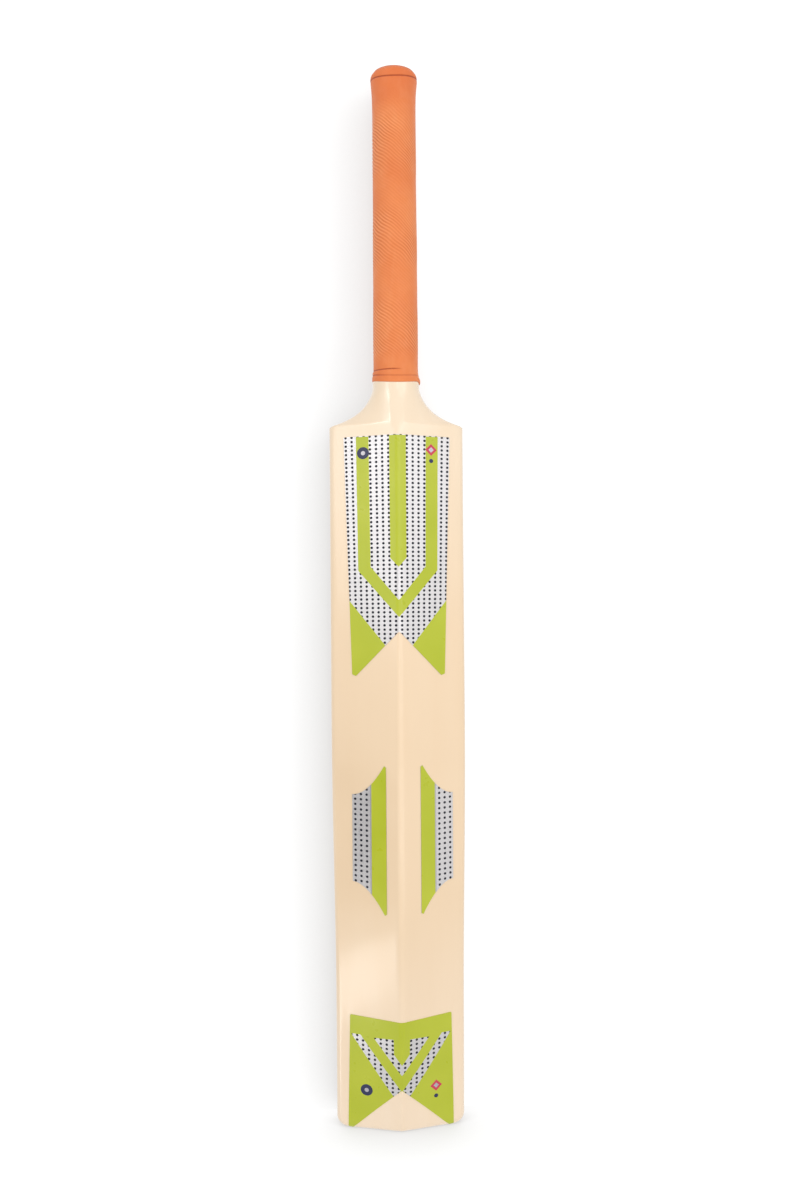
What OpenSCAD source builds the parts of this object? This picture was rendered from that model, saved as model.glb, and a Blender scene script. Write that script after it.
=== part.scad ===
// Full-size cricket bat: a cleft blade with a V splice, a laminated cane handle,
// twine binding, a rubber grip and four foil labels. It stands upright on its toe:
// +Z runs up the handle, the hitting face looks along +Y and the ridged back along -Y.

/* [Overall] */
// Length from the toe to the top of the grip
bat_len = 851; // [800:1:1000]
// Height of the shoulders above the toe
shoulder_z = 566; // [480:0.5:640]
// Width of the blade above the taper
blade_w = 108; // [92:1:130]
// Width of the blade near the toe
toe_w = 103.5; // [92:0.5:125]

/* [Blade thickness] */
// Thickness through the ridge where it is highest
spine_peak_t = 56; // [48:1:68]
// Height above the toe of the thickest place
spine_peak_z = 220; // [150:1:280]
// Thickness through the ridge at the shoulders
spine_shoulder_t = 44; // [38:1:52]
// Thickness through the ridge at the toe
spine_toe_t = 34; // [28:1:44]
// Thickness of the edges at the thickest place
edge_peak_t = 25; // [20:1:34]
// Thickness of the edges at the shoulders
edge_shoulder_t = 21; // [18:1:28]
// Thickness of the edges at the toe
edge_toe_t = 22; // [18:1:26]
// How far the toe comes forward of the handle line
bow = 4; // [0:0.5:18]
// Rise of the face between its edges and its middle
face_camber = 1.5; // [0:0.1:3]

/* [Blade rounding] */
// Radius between the face and the edges
face_edge_r = 4; // [2:0.5:6]
// Radius between the edges and the back slopes
back_edge_r = 6; // [3:0.5:8]
// Radius along the ridge
ridge_r = 6; // [2:0.5:10]
// Corner radius of the toe, seen from the front
toe_r = 8; // [5:0.5:14]
// Radius between the toe's bottom and the face and back
toe_edge_r = 3; // [2:0.5:7]
// Rise of the toe's bottom from the middle to the corners
toe_rise = 0.5; // [0:0.5:10]

/* [Neck] */
// Diameter of the neck under the grip
neck_d = 37.5; // [36:0.5:42]
// Height over which the shoulders sweep in to the neck
neck_len = 31; // [22:1:45]
// Height of the straight collar above the sweep
collar_h = 3.5; // [1:0.5:8]

/* [Splice and handle] */
// Diameter of the bare cane handle
handle_d = 30; // [27:0.5:32]
// Depth of the splice below the shoulders
splice_depth = 175; // [120:1:220]
// Width of the blunt tip of the splice
splice_tip_w = 3; // [2:0.5:8]
// Cane layers from front to back
cane_layers = 4; // [2:1:4]
// Cane strips side by side in one layer
cane_columns = 3; // [1:2:3]
// Thickness of the rubber strips between the layers
rubber_t = 1.6; // [1:0.1:2.5]
// Thickness of the twine binding
binding_t = 0.8; // [0.5:0.1:1.2]

/* [Grip] */
// Outside diameter at the slimmest place, near the top
grip_top_d = 35; // [34:0.1:38]
// Outside diameter near the bottom
grip_bottom_d = 36; // [34.5:0.1:39]
// Diameter of the rolled lip at the top
lip_d = 38; // [36:0.1:41]
// Height of the rolled lip
lip_h = 10; // [6:0.5:14]
// Height of the flare below the lip
lip_flare_h = 28; // [14:1:40]
// Diameter of the rolled foot at the bottom
foot_d = 37.6; // [36:0.1:40]
// Height of the rolled foot
foot_h = 11; // [6:0.5:16]
// How far the cane ends lie below the top of the grip
end_recess = 1.5; // [0.5:0.1:4]

/* [Labels] */
// Thickness of the foil
foil_t = 0.3; // [0.2:0.05:0.6]
// Distance from the shoulders down to the upper label
upper_label_gap = 10; // [6:1:30]
// Height of the upper label at its middle
upper_label_h = 155.5; // [100:0.5:190]
// How much longer the upper label is at its two tips
upper_label_tail = 35; // [10:1:60]
// Half width of the upper label at its top edge
upper_label_half_w = 42; // [30:0.5:44]
// Half width of the upper label at its tips
upper_label_tip_half_w = 38; // [28:0.5:44]
// How far the middle labels' centre lies above the middle of the space between the others
side_label_raise = 7.5; // [-10:0.5:15]
// Height of a middle label along its inner edge
side_label_inner_h = 117; // [80:1:150]
// Height of a middle label along its outer edge
side_label_outer_h = 69; // [40:1:80]
// Distance from the ridge to a middle label's inner edge
side_label_inner_x = 13.5; // [8:0.5:20]
// Distance from the ridge to a middle label's outer edge
side_label_outer_x = 40; // [30:0.5:44]
// How far both middle labels sit to the right, where the back is seen from behind it
side_label_shift = 2.5; // [-3:0.5:3]
// Height above the toe of the lower label's top edge
toe_label_top_z = 94.5; // [80:0.5:130]
// Height above the toe of the notch in the lower label
toe_label_notch_z = 36.5; // [30:0.5:50]
// Height above the toe of the lower label's tips
toe_label_tip_z = 4; // [4:0.5:28]
// Half width of the lower label at its top edge
toe_label_half_w = 40; // [30:0.5:43]
// Half width of the lower label at its tips
toe_label_tip_half_w = 42.5; // [30:0.5:43]

/* [Hidden] */
// Clearance between round pieces that are glued or stretched on each other
glue = 0.05;
// Layer of glue under a label
label_glue = 0.1;
cream = "#f7ddba";
orange = "#ec864e";
cane = "#d8b67a";
dark_rubber = "#3b3733";
twine = "#e9dfc9";
foil_green = "#bccb45";
// A length that reaches well past the blade on every side, for cutting shapes
reach = 100;

neck_r = neck_d / 2;
handle_r = handle_d / 2;
binding_r = handle_r + binding_t;
flare_top_z = shoulder_z + neck_len;
neck_top_z = flare_top_z + collar_h;
cane_end_z = bat_len - end_recess;
splice_tip_z = shoulder_z - splice_depth;
upper_label_top_z = shoulder_z - upper_label_gap;
upper_label_notch_z = upper_label_top_z - upper_label_h;
upper_label_tip_z = upper_label_notch_z - upper_label_tail;
side_label_z = (toe_label_top_z + upper_label_tip_z) / 2 + side_label_raise;
layer_pitch = handle_d / cane_layers;
column_pitch = handle_d / cane_columns;

cane_nodes = [
    for (layer = [1:cane_layers])
        for (column = [1:cane_columns])
            str("cane_", layer, "_", column)
];
rubber_nodes = [for (i = [1:cane_layers - 1]) str("rubber_strip_", i)];

// ---- Blade surface ----

// Smooth step from 0 to 1
function ease(t) = (1 - cos(180 * min(max(t, 0), 1))) / 2;

// Straight mix of two numbers
function mix(a, b, t) = a + (b - a) * t;

// The smaller of two lengths, rounded over where they cross
function soft_min(a, b, soft = 0.8) = -soft * ln(exp(-a / soft) + exp(-b / soft));

// A thickness that falls from its peak to the shoulders and to the toe
function thickness(z, peak, shoulder, toe) =
    z > spine_peak_z
        ? mix(peak, shoulder, ease((z - spine_peak_z) / (shoulder_z - spine_peak_z)))
        : mix(peak, toe, pow(1 - z / spine_peak_z, 2.5));

function spine_t(z) = thickness(z, spine_peak_t, spine_shoulder_t, spine_toe_t);
function edge_t(z) = thickness(z, edge_peak_t, edge_shoulder_t, edge_toe_t);

// Front of the blade at its middle, before the whole bat is centred in depth
function face_y(z) = neck_r + bow * pow(max(1 - z / shoulder_z, 0), 2);

// Half width of the blade without the neck, tapering over its lower half
taper_from_z = shoulder_z * 0.17;
taper_to_z = shoulder_z * 0.58;
function side_x(z) = mix(toe_w, blade_w, ease((z - taper_from_z) / (taper_to_z - taper_from_z))) / 2;

// Sweep of the shoulders, from 0 at the neck to 1 at the blade's side
function sweep(u) = u <= 0 ? 0 : 0.55 * pow(u, 1.5) + 0.45 * pow(u, 4.5);
function neck_x(z) = mix(neck_r, blade_w / 2, sweep(min((flare_top_z - z) / neck_len, 2)));
function half_width(z) = z < shoulder_z - neck_len ? side_x(z) : soft_min(side_x(z), neck_x(z));

// How round the section is: 0 up to just under the shoulders, 1 at the neck
round_from_z = shoulder_z - 12;
function roundness(z) = ease((z - round_from_z) / (flare_top_z - round_from_z));

// Slope of the back, in degrees, where the ridge radius meets it
function slope(z) =
    let (w = side_x(z), rise = spine_t(z) - edge_t(z), first = atan(rise / w))
    atan((rise + ridge_r * (1 / cos(first) - 1)) / w);

// Right half of a blade section, from the middle of the face round to the ridge
face_steps = [0, 0.1, 0.22, 0.36, 0.52, 0.7, 0.86];
slope_places = [0.2, 0.4, 0.6, 0.8];
function half_section(z) =
    let (
        w = side_x(z),
        y = face_y(z),
        a = slope(z),
        turn = 90 - a,
        flat_x = w - face_edge_r,
        flat_y = y - face_camber * pow(flat_x / w, 2),
        corner = [w - back_edge_r, y - edge_t(z) + back_edge_r * tan(turn / 2)],
        ridge = [0, y - spine_t(z) + ridge_r],
        slope_from = corner + back_edge_r * [cos(turn), -sin(turn)],
        slope_to = ridge + ridge_r * [cos(turn), -sin(turn)]
    )
    concat(
        [for (k = face_steps) [k * flat_x, y - face_camber * pow(k * flat_x / w, 2)]],
        [for (b = [90:-30:0]) [flat_x, flat_y - face_edge_r] + face_edge_r * [cos(b), sin(b)]],
        [for (k = [0:3]) corner + back_edge_r * [cos(turn * k / 3), -sin(turn * k / 3)]],
        [for (k = slope_places) mix(slope_from, slope_to, k)],
        [for (k = [0:2]) ridge + ridge_r * [cos(mix(turn, 90, k / 2)), -sin(mix(turn, 90, k / 2))]]
    );
HALF = len(half_section(0)) - 1;

// How far in a rounded corner of radius r lies, at a height above its end
function round_in(r, height) = height < r ? r - sqrt(r * r - pow(r - height, 2)) : 0;

// The toe: its corners narrow it, its bottom edges thin it and its bottom is a low arc
toe_fade_h = 60;
function narrow(z) = 1 - round_in(toe_r, z) / side_x(0);
function thin(z) = 1 - 2 * round_in(toe_edge_r, z) / spine_toe_t;
function rise_at(x) = toe_rise * pow(x / side_x(0), 2);
function raised(x, z) = z + rise_at(x) * max(1 - z / toe_fade_h, 0);

// A closed ring: the right half, narrowed to the shoulders' sweep and rounded
// towards the neck, then the left half back to the start
function half_ring(z) =
    let (
        half = half_section(z),
        w = side_x(z),
        m = roundness(z),
        wide = half_width(z) * narrow(z),
        y_mid = face_y(z) - 0.6 * edge_t(z)
    )
    [
        for (j = [0:HALF])
            let (
                angle = 90 - 180 * j / HALF,
                x = wide * mix(half[j].x / w, cos(angle), m),
                y = mix(half[j].y, neck_r * sin(angle), m)
            )
            [x, y_mid + (y - y_mid) * thin(z), raised(x, z)]
    ];
function ring(z) =
    let (half = half_ring(z))
    concat(half, [for (j = [HALF - 1:-1:1]) [-half[j].x, half[j].y, half[j].z]]);

// Heights of the rings from the toe to the neck, closer together where the outline turns
blade_steps = 24;
toe_zs = [for (turned = [90:-15:0]) toe_r * (1 - sin(turned))];
blade_zs = [
    for (z = [toe_r + 5:9:toe_fade_h]) z,
    for (k = [1:blade_steps]) mix(toe_fade_h, shoulder_z - 10, pow(k / blade_steps, 1.2))
];
neck_zs = [
    for (k = [0:5]) shoulder_z - 5 + 1.6 * k,
    for (k = [1:12]) mix(shoulder_z + 3, flare_top_z, k / 12),
    neck_top_z
];
all_rings = [for (z = concat(toe_zs, blade_zs, neck_zs)) ring(z)];
splice_rings = [for (z = concat(blade_zs, neck_zs)) if (z > splice_tip_z - 40) ring(z)];

// Moves the bat so that its origin is the middle of its depth
ring_ys = [for (one = all_rings) for (p = one) p.y];
depth_mid = (min(ring_ys) + max(ring_ys)) / 2;

// A closed skin through the rings, with a flat top and a bottom made of strips
module loft(rings) {
    n = 2 * HALF;
    last = len(rings) - 1;
    function at(k, i) = k * n + (i + n) % n;
    sides = [
        for (k = [0:last - 1])
            for (i = [0:n - 1])
                each [
                    [at(k, i), at(k, i + 1), at(k + 1, i + 1)],
                    [at(k, i), at(k + 1, i + 1), at(k + 1, i)]
                ]
    ];
    bottom = [
        for (side = [1, -1])
            for (j = [0:(HALF - 1) / 2 - 1])
                let (
                    a = at(0, side * j),
                    b = at(0, side * (j + 1)),
                    c = at(0, side * (HALF - j - 1)),
                    d = at(0, side * (HALF - j))
                )
                each side > 0 ? [[a, c, b], [a, d, c]] : [[a, b, c], [a, c, d]]
    ];
    top = [[for (i = [0:n - 1]) at(last, i)]];
    polyhedron([for (one = rings) each one], concat(sides, bottom, top), convexity = 4);
}

// ---- Splice and handle ----

// The V that is cut through the blade for the handle
module splice_wedge(height) {
    top_half_w = mix(splice_tip_w / 2, handle_r, height / (neck_top_z - splice_tip_z));
    translate([0, reach, splice_tip_z])
        rotate([90, 0, 0])
            linear_extrude(2 * reach)
                polygon([
                    [-splice_tip_w / 2, 0],
                    [splice_tip_w / 2, 0],
                    [top_half_w, height],
                    [-top_half_w, height]
                ]);
}

// The uncut handle: the V tongue, flush with the blade, and the round stem above it
module tongue() {
    intersection() {
        splice_wedge(neck_top_z - splice_tip_z);
        loft(splice_rings);
    }
}

module inner_tongue() {
    splice_wedge(neck_top_z - splice_tip_z);
}

module stem() {
    translate([0, 0, neck_top_z])
        cylinder(r = handle_r, h = cane_end_z - neck_top_z, $fn = 96);
}

// Box that cuts one strip out of the handle. A layer or column on the outside is open there.
module strip_cell(x_low, x_high, y_low, y_high) {
    translate([x_low, y_low, 0])
        cube([x_high - x_low, y_high - y_low, bat_len]);
}

module cane_strip(layer, column) {
    y_low = layer == cane_layers ? -reach : handle_r - layer * layer_pitch + rubber_t / 2;
    y_high = layer == 1 ? reach : handle_r - (layer - 1) * layer_pitch - rubber_t / 2;
    x_low = column == 1 ? -reach : -handle_r + (column - 1) * column_pitch;
    x_high = column == cane_columns ? reach : -handle_r + column * column_pitch;
    color(cane)
        translate([0, -depth_mid, 0])
            union() {
                intersection() {
                    stem();
                    strip_cell(x_low, x_high, y_low, y_high);
                }
                intersection() {
                    if (layer == 1 || layer == cane_layers) tongue();
                    else inner_tongue();
                    strip_cell(x_low, x_high, y_low, y_high);
                }
            }
}

module rubber_strip(i) {
    y = handle_r - i * layer_pitch;
    color(dark_rubber)
        translate([0, -depth_mid, 0])
            intersection() {
                union() {
                    stem();
                    inner_tongue();
                }
                strip_cell(-reach, reach, y - rubber_t / 2, y + rubber_t / 2);
            }
}

module blade() {
    color(cream)
        translate([0, -depth_mid, 0])
            difference() {
                loft(all_rings);
                splice_wedge(neck_top_z - splice_tip_z + 5);
            }
}

module twine_binding() {
    color(twine)
        translate([0, -depth_mid, neck_top_z])
            difference() {
                cylinder(r = binding_r, h = cane_end_z - neck_top_z, $fn = 96);
                translate([0, 0, -1])
                    cylinder(r = handle_r + glue, h = cane_end_z - neck_top_z + 2, $fn = 96);
            }
}

// A round bulge in the grip's outline, from one radius and height to another
function roll(from, to, bulge, steps = 6) =
    [for (k = [0:steps]) mix(from, to, k / steps) + [bulge * sin(180 * k / steps), 0]];

module grip() {
    bore_r = binding_r + glue;
    top_r = grip_top_d / 2;
    bottom_r = grip_bottom_d / 2;
    lip_r = lip_d / 2;
    lip_z = bat_len - lip_h;
    flare_z = lip_z - lip_flare_h;
    foot_z = neck_top_z + foot_h;
    fold = 0.9;
    foot = roll([foot_d / 2 - fold, neck_top_z], [bottom_r, foot_z], fold);
    body = [for (k = [1:4]) [mix(bottom_r, top_r, ease(k / 4)), mix(foot_z, flare_z, k / 4)]];
    flare = [for (k = [1:5]) [mix(top_r, lip_r - 0.4, pow(k / 5, 1.2)), mix(flare_z, lip_z, k / 5)]];
    lip = roll([lip_r - fold, lip_z + 0.5], [lip_r - fold, bat_len], fold);
    color(orange)
        translate([0, -depth_mid, 0])
            rotate_extrude($fn = 96)
                polygon(concat([[bore_r, neck_top_z]], foot, body, flare, lip, [[bore_r, bat_len]]));
}

// ---- Labels ----

// Point on the back of the blade, raised by lift along the surface's normal
function back_point(x, z, lift) =
    let (
        fade = max(1 - z / toe_fade_h, 0),
        ring_z = fade > 0 ? (z - rise_at(x)) / (1 - rise_at(x) / toe_fade_h) : z,
        a = slope(ring_z),
        run = ridge_r * sin(a),
        wide_x = x / narrow(ring_z),
        on_slope = abs(wide_x) >= run,
        side = x < 0 ? -1 : 1,
        normal = on_slope
            ? [side * sin(a), -cos(a)]
            : [wide_x / ridge_r, -sqrt(1 - pow(wide_x / ridge_r, 2))],
        ridge_y = face_y(ring_z) - spine_t(ring_z) + ridge_r,
        y = on_slope
            ? ridge_y - ridge_r * cos(a) + (abs(wide_x) - run) * tan(a)
            : ridge_y + ridge_r * normal.y
    )
    [x + lift * normal.x, y + lift * normal.y, z];

// A foil that follows the back: columns run from its bottom edge to its top edge
module foil(bottom_edge, top_edge, rows = 12) {
    n = len(bottom_edge);
    function point(i, k, lift) =
        let (p = mix(bottom_edge[i], top_edge[i], k / rows))
        back_point(p.x, p.y, lift);
    lifts = [label_glue, label_glue + foil_t];
    points = [
        for (lift = lifts)
            for (k = [0:rows])
                for (i = [0:n - 1])
                    point(i, k, lift)
    ];
    function at(layer, k, i) = (layer * (rows + 1) + k) * n + i;
    sheets = [
        for (k = [0:rows - 1])
            for (i = [0:n - 2])
                each [
                    [at(1, k, i), at(1, k + 1, i), at(1, k + 1, i + 1)],
                    [at(1, k, i), at(1, k + 1, i + 1), at(1, k, i + 1)],
                    [at(0, k, i), at(0, k + 1, i + 1), at(0, k + 1, i)],
                    [at(0, k, i), at(0, k, i + 1), at(0, k + 1, i + 1)]
                ]
    ];
    ends = [
        for (i = [0:n - 2])
            each [
                [at(0, 0, i), at(1, 0, i), at(1, 0, i + 1)],
                [at(0, 0, i), at(1, 0, i + 1), at(0, 0, i + 1)],
                [at(0, rows, i), at(1, rows, i + 1), at(1, rows, i)],
                [at(0, rows, i), at(0, rows, i + 1), at(1, rows, i + 1)]
            ]
    ];
    borders = [
        for (k = [0:rows - 1])
            each [
                [at(0, k, 0), at(1, k + 1, 0), at(1, k, 0)],
                [at(0, k, 0), at(0, k + 1, 0), at(1, k + 1, 0)],
                [at(0, k, n - 1), at(1, k, n - 1), at(1, k + 1, n - 1)],
                [at(0, k, n - 1), at(1, k + 1, n - 1), at(0, k + 1, n - 1)]
            ]
    ];
    color(foil_green)
        translate([0, -depth_mid, 0])
            polyhedron(points, concat(sheets, ends, borders), convexity = 4);
}

// One edge of a label that crosses the ridge, from side to side. The middle five places
// lie where the blade's own ridge turns. Its height goes from middle_z to tip_z.
function ridge_edge(half_w, middle_z, tip_z) =
    let (
        a = slope(middle_z),
        right = concat(
            [for (k = [1, 2]) ridge_r * sin(a * k / 2)],
            [for (k = [1:6]) mix(ridge_r * sin(a), half_w, k / 6)]
        ),
        places = concat([for (i = [len(right) - 1:-1:0]) -right[i]], [0], right)
    )
    [for (x = places) [x, mix(middle_z, tip_z, abs(x) / half_w)]];

// Places across a label on one slope
slope_steps = [0, 0.05, 0.12, 0.2, 0.3, 0.42, 0.56, 0.7, 0.85, 1];

module upper_label() {
    foil(
        ridge_edge(upper_label_tip_half_w, upper_label_notch_z, upper_label_tip_z),
        ridge_edge(upper_label_half_w, upper_label_top_z, upper_label_top_z)
    );
}

module side_label(side) {
    places = side > 0 ? slope_steps : [for (i = [len(slope_steps) - 1:-1:0]) slope_steps[i]];
    function half_h(s) = mix(side_label_inner_h, side_label_outer_h, 1 - pow(1 - s, 1.7)) / 2;
    function x_at(s) = side * mix(side_label_inner_x, side_label_outer_x, s) + side_label_shift;
    foil(
        [for (s = places) [x_at(s), side_label_z - half_h(s)]],
        [for (s = places) [x_at(s), side_label_z + half_h(s)]]
    );
}

module toe_label() {
    foil(
        ridge_edge(toe_label_tip_half_w, toe_label_notch_z, toe_label_tip_z),
        ridge_edge(toe_label_half_w, toe_label_top_z, toe_label_top_z)
    );
}

blade();
for (layer = [1:cane_layers])
    for (column = [1:cane_columns])
        cane_strip(layer, column);
for (i = [1:cane_layers - 1])
    rubber_strip(i);
twine_binding();
grip();
upper_label();
side_label(-1);  // left_label
side_label(1);  // right_label
toe_label();
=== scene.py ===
"""Looks of a full-size cricket bat: opaque cream lacquer on the blade, an orange ribbed
rubber grip, four green and silver foil labels, and the cane handle inside.

Sizes are in millimetres, as in the part's source. The bat stands on its toe at z = 0
with its ridged back towards -Y.
"""

import math

import bpy
import numpy as np
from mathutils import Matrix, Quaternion, Vector
from mathutils.geometry import delaunay_2d_cdt


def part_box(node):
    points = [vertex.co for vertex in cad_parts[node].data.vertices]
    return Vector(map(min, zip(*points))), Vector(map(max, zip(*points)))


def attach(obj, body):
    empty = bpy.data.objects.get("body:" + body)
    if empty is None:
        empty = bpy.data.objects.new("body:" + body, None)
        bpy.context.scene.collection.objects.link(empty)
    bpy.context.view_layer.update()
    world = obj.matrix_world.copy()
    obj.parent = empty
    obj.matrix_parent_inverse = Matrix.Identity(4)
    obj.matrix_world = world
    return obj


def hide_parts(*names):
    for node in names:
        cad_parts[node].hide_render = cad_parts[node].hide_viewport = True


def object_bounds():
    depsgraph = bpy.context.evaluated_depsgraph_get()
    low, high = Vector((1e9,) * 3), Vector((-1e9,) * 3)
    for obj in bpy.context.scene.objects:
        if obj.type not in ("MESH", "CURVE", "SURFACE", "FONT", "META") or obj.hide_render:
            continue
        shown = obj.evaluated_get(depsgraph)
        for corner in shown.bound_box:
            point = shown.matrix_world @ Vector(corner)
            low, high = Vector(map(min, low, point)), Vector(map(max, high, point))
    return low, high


MM = 0.001

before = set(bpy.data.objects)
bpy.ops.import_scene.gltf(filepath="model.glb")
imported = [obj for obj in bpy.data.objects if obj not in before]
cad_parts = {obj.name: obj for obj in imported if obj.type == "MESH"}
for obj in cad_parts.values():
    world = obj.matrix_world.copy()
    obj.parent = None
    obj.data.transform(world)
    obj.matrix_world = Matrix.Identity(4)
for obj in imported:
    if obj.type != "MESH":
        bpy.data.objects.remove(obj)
cad_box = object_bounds()

# ---- Sizes of the bat, as in the part's source ----

bat_len = 851.0
shoulder_z = 566.0
blade_w = 108.0
toe_w = 103.5
spine_peak_t = 56.0
spine_peak_z = 220.0
spine_shoulder_t = 44.0
spine_toe_t = 34.0
edge_peak_t = 25.0
edge_shoulder_t = 21.0
edge_toe_t = 22.0
bow = 4.0
face_camber = 1.5
face_edge_r = 4.0
back_edge_r = 6.0
ridge_r = 6.0
toe_r = 8.0
toe_edge_r = 3.0
toe_rise = 0.5
toe_fade_h = 60.0
neck_r = 18.75
neck_len = 31.0
collar_h = 3.5
flare_top_z = shoulder_z + neck_len
foot_z = flare_top_z + collar_h
bore_r = 15.85
label_glue = 0.1
foil_t = 0.3
upper_label_top_z = shoulder_z - 10
upper_label_notch_z = upper_label_top_z - 155.5
upper_label_tip_z = upper_label_notch_z - 35
upper_label_half_w = 42.0
upper_label_tip_half_w = 38.0
toe_label_top_z = 94.5
toe_label_half_w = 40.0
toe_label_tip_half_w = 42.5
side_label_z = (toe_label_top_z + upper_label_tip_z) / 2 + 7.5
side_label_inner_h = 117.0
side_label_outer_h = 69.0
side_label_inner_x = 13.5
side_label_outer_x = 40.0
side_label_shift = 2.5

# ---- Sizes that only the finish has ----

# Thickness of the lacquer, and how far the collar under the grip's foot rises and steps in
lacquer_t = 0.06
collar_reach = 6.0
collar_step = 2.45
# Radius of the grip above its foot and below its lip, how far it flares at the lip, and the
# rounding of the lip's rim
grip_low_r = 18.0
grip_high_r = 17.5
lip_flare = 1.5
lip_edge_r = 4.2
# The grip's lower edge: its height above the CAD's foot at the sides, how far it hangs down at
# the ridge side and at one drop on the right, and the height of the bead rolled round it
foot_rise = 2.0
foot_sag = 3.6
foot_drop = 2.4
bead_h = 5.2
# Depth of the creases at the lip, above the bead and along the fold
crease_depth = 0.42
# Ribs of the grip: how many round it, their pitch along it, their height, and the middle
# and pitch of the patches where they stand out
rib_count = 31
rib_pitch_z = 2.87
rib_h = 0.19
rib_patch_z = 789.0
rib_patch_pitch = 74.0
# Distance from one turn of the twine to the next
twine_pitch = 1.2
# Radius of a printed dot
dot_r = 1.04
# Notch and tips of the lower label's foil
toe_foil_notch_z = 37.0
toe_foil_tip_z = 1.6

# The handle's axis lies here in depth, because the frame's origin is the middle of the depth
grip_low, grip_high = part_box("grip")
axis_y = (grip_low.y + grip_high.y) / 2 / MM


# ---- Shape of the blade ----


def ease(t):
    """Smooth step from 0 to 1."""
    return (1 - np.cos(np.pi * np.clip(t, 0, 1))) / 2


def mix(a, b, t):
    """Straight mix of two values."""
    return a + (b - a) * t


def thickness(z, peak, shoulder, toe):
    """A thickness that falls from its peak to the shoulders and to the toe."""
    above = mix(peak, shoulder, ease((z - spine_peak_z) / (shoulder_z - spine_peak_z)))
    below = mix(peak, toe, np.clip(1 - z / spine_peak_z, 0, 1) ** 2.5)
    return np.where(z > spine_peak_z, above, below)


def spine_t(z):
    """Thickness of the blade through its ridge."""
    return thickness(z, spine_peak_t, spine_shoulder_t, spine_toe_t)


def edge_t(z):
    """Thickness of the blade at its edges."""
    return thickness(z, edge_peak_t, edge_shoulder_t, edge_toe_t)


def face_y(z):
    """Front of the blade at its middle, measured from the handle's axis."""
    return neck_r + bow * np.clip(1 - z / shoulder_z, 0, None) ** 2


def side_x(z):
    """Half width of the blade without the neck."""
    low, high = shoulder_z * 0.17, shoulder_z * 0.58
    return mix(toe_w, blade_w, ease((z - low) / (high - low))) / 2


def half_width(z):
    """Half width of the blade with the sweep of its shoulders."""
    u = np.clip((flare_top_z - z) / neck_len, 0, 2)
    neck_x = mix(neck_r, blade_w / 2, 0.55 * u**1.5 + 0.45 * u**4.5)
    soft = 0.8
    swept = -soft * np.log(np.exp(-side_x(z) / soft) + np.exp(-neck_x / soft))
    return np.where(z < shoulder_z - neck_len, side_x(z), swept)


def roundness(z):
    """How round the section is: 0 on the blade, 1 at the neck."""
    return ease((z - shoulder_z + 12) / (neck_len + 12))


def slope(z):
    """Slope of the back, in radians, where the ridge radius meets it."""
    w = side_x(z)
    rise = spine_t(z) - edge_t(z)
    first = np.arctan(rise / w)
    return np.arctan((rise + ridge_r * (1 / np.cos(first) - 1)) / w)


def round_in(r, height):
    """How far in a rounded corner of radius r lies, at a height above its end."""
    return r - np.sqrt(np.clip(r * r - np.clip(r - height, 0, r) ** 2, 0, None))


def narrow(z):
    """Share of the width that the rounded toe corners leave."""
    return 1 - round_in(toe_r, z) / side_x(np.zeros(1))


def rise_at(x):
    """How far the toe's lower edge rises at a place across."""
    return toe_rise * (x / (toe_w / 2)) ** 2


def toe_thinned(y, z):
    """Depth y with the rounding of the toe's front and back edges."""
    y_mid = face_y(z) - 0.6 * edge_t(z)
    thin = 1 - 2 * round_in(toe_edge_r, z) / spine_toe_t
    return y_mid + (y - y_mid) * thin


# Places along the right half of a section, as in the source, from the middle of the face
FACE_END, FRONT_CORNER_END, EDGE_END, BACK_CORNER_END, SLOPE_END, RIDGE = 7, 10, 11, 14, 19, 21
FACE_SHARES = [0, 0.1, 0.22, 0.36, 0.52, 0.7, 0.86, 1]


def half_section(z, j):
    """Right half of a section at height z, at places j from the face's middle to the ridge."""
    w, y = side_x(z), face_y(z)
    turn = np.pi / 2 - slope(z)
    # The cambered face
    flat_x = w - face_edge_r
    flat_y = y - face_camber * (flat_x / w) ** 2
    face_x = np.interp(j, range(FACE_END + 1), FACE_SHARES) * flat_x
    face = y - face_camber * (face_x / w) ** 2
    # The rounded front corner
    b = np.radians(90 - 30 * np.clip(j - FACE_END, 0, 3))
    front_x = flat_x + face_edge_r * np.cos(b)
    front_y = flat_y - face_edge_r + face_edge_r * np.sin(b)
    # The straight edge, and the rounded back corner round its centre
    corner_x = w - back_edge_r
    corner_y = y - edge_t(z) + back_edge_r * np.tan(turn / 2)
    edge_y = mix(flat_y - face_edge_r, corner_y, j - FRONT_CORNER_END)
    c = turn * np.clip(j - EDGE_END, 0, 3) / 3
    back_x = corner_x + back_edge_r * np.cos(c)
    back_y = corner_y - back_edge_r * np.sin(c)
    # The slope, and the rounded ridge round its centre
    ridge_y = y - spine_t(z) + ridge_r
    t = np.clip((j - BACK_CORNER_END) / 5, 0, 1)
    slope_x = mix(corner_x + back_edge_r * np.cos(turn), ridge_r * np.cos(turn), t)
    slope_y = mix(corner_y - back_edge_r * np.sin(turn), ridge_y - ridge_r * np.sin(turn), t)
    d = mix(turn, np.pi / 2, np.clip((j - SLOPE_END) / 2, 0, 1))
    crest_x = ridge_r * np.cos(d)
    crest_y = ridge_y - ridge_r * np.sin(d)
    zones = [j <= end for end in (FACE_END, FRONT_CORNER_END, EDGE_END, BACK_CORNER_END, SLOPE_END)]
    x = np.select(zones, [face_x, front_x, w, back_x, slope_x], crest_x)
    depth = np.select(zones, [face, front_y, edge_y, back_y, slope_y], crest_y)
    return x, depth


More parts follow.
